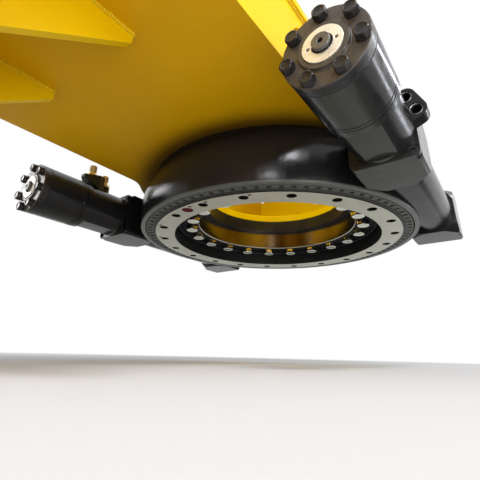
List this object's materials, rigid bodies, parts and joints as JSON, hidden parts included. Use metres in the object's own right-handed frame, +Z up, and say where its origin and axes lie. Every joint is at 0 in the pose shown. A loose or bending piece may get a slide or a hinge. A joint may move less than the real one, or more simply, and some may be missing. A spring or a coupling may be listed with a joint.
{
  "type": "straddle carrier steering slewing drive with arm end",
  "caption": "Steering slewing drive of a straddle carrier: open toothed bearing ring with two hydraulic worm motors, under the end of a yellow box-section carrying arm.",
  "frame": {"origin": "centre of the arm's end flange, on its outer face", "axes": "+X along the arm to the slewing axis, +Y to the left motor, +Z up along the slewing axis"},
  "size_m": [1.2419, 0.9058, 0.4],
  "materials": {
    "yellow_paint": "semi-gloss traffic yellow",
    "black_paint": "glossy near-black grey",
    "machined_steel": "turned, lightly oiled",
    "bore_steel": "turned, brownish oil film",
    "white_zinc": "bright zinc",
    "yellow_zinc": "yellow-passivated zinc",
    "dark_steel": "oiled dark steel",
    "seal_rubber": "matt black",
    "red_plug": "red paint"
  },
  "bodies": {
    "arm": {"arm_bottom_plate": "yellow_paint", "arm_pad_ring": "yellow_paint", "arm_top_plate": "yellow_paint", "arm_web_left": "yellow_paint", "arm_web_right": "yellow_paint", "arm_nose_plate": "yellow_paint", "arm_band_left": "yellow_paint", "arm_band_right": "yellow_paint", "arm_band_nose": "yellow_paint", "arm_end_flange": "yellow_paint", "gusset_left": "yellow_paint", "gusset_right": "yellow_paint", "slew_housing": "black_paint", "worm_cover_left": "black_paint", "worm_cover_right": "black_paint", "inner_ring": "bore_steel", "inner_bolts": "white_zinc", "inner_bolt_sleeves": "yellow_zinc", "inner_seal": "seal_rubber", "motor_flange_left": "black_paint", "motor_body_left": "black_paint", "motor_plate_left": "black_paint", "motor_gears_left": "black_paint", "motor_cap_left": "black_paint", "motor_cap_bolts_left": "black_paint", "motor_disc_left": "white_zinc", "motor_ports_left": "black_paint", "motor_screws_left": "dark_steel", "motor_flange_right": "black_paint", "motor_body_right": "black_paint", "motor_plate_right": "black_paint", "motor_gears_right": "black_paint", "motor_cap_right": "black_paint", "motor_cap_bolts_right": "black_paint", "motor_disc_right": "white_zinc", "motor_ports_right": "black_paint", "motor_screws_right": "dark_steel"},
    "output": {"output_ring": "machined_steel", "rim_seal": "seal_rubber", "ball_plug": "red_plug"},
    "shaft_left": {"motor_shaft_left": "dark_steel"},
    "shaft_right": {"motor_shaft_right": "dark_steel"}
  },
  "joints": [
    {"name": "slew", "type": "hinge", "parent": "arm", "child": "output", "pos_m": [0.85, 0, -0.18], "axis": [0, 0, 1], "continuous": true},
    {"name": "left_motor_turn", "type": "hinge", "parent": "arm", "child": "shaft_left", "pos_m": [0.34, 0.3719, -0.118], "axis": [1, 0, 0], "continuous": true},
    {"name": "right_motor_turn", "type": "hinge", "parent": "arm", "child": "shaft_right", "pos_m": [0.34, -0.3719, -0.118], "axis": [1, 0, 0], "continuous": true}
  ],
  "couplings": [
    {"joint": "left_motor_turn", "follows": "slew", "ratio": 90},
    {"joint": "right_motor_turn", "follows": "slew", "ratio": -90}
  ]
}
